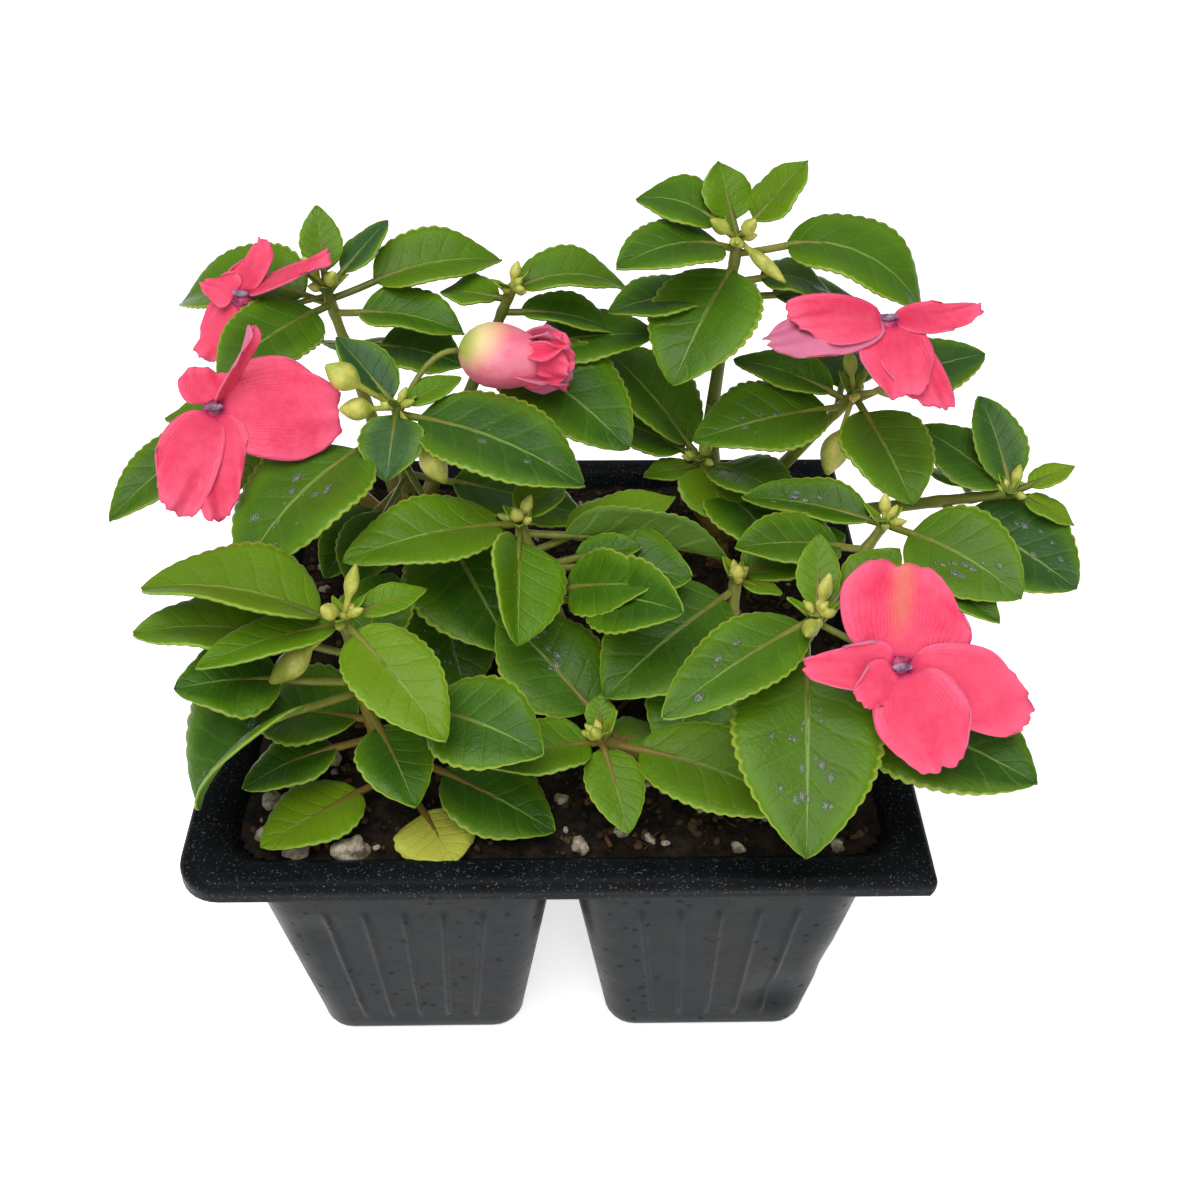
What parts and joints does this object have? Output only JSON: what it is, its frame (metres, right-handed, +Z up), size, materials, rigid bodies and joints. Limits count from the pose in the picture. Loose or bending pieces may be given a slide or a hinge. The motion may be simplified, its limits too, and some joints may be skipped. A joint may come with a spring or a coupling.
{
  "type": "potted busy lizzie",
  "caption": "Young busy lizzie plants with coral pink blooms and toothed leaves, growing together in soil in a black nursery pack with tapered cells.",
  "frame": {"origin": "middle of the whole object's box, on the surface it stands on", "axes": "+Z up, +X to the right across the front, +Y from the front to the back"},
  "size_m": [0.1894, 0.146, 0.1539],
  "materials": {
    "pack_plastic": "satin black",
    "peat": "matt, crumbly",
    "stem": "satin",
    "leaf": "glossy on top, matt beneath",
    "young_leaf": "glossy",
    "old_leaf": "satin",
    "petal": "soft"
  },
  "bodies": {
    "root": {"bloom_back_left": "petal", "bloom_front_right": "petal", "bloom_left": "petal", "bloom_right": "petal", "bud_half_open": "petal", "cell_pack": "pack_plastic", "low_leaf_green": "young_leaf", "low_leaf_yellow": "old_leaf", "main_stem_back_left": "stem", "main_stem_back_right": "stem", "main_stem_front_left": "stem", "main_stem_front_right": "stem", "potting_soil": "peat", "shoot_back_left": "leaf", "shoot_back_middle": "leaf", "shoot_back_right": "leaf", "shoot_centre": "leaf", "shoot_centre_right": "leaf", "shoot_front_left": "leaf", "shoot_front_middle": "leaf", "shoot_front_right": "leaf", "shoot_left_middle": "leaf", "shoot_left_side": "leaf", "shoot_middle_right": "leaf", "shoot_right_back": "leaf", "shoot_right_middle": "leaf", "shoot_right_side": "leaf"}
  },
  "joints": []
}
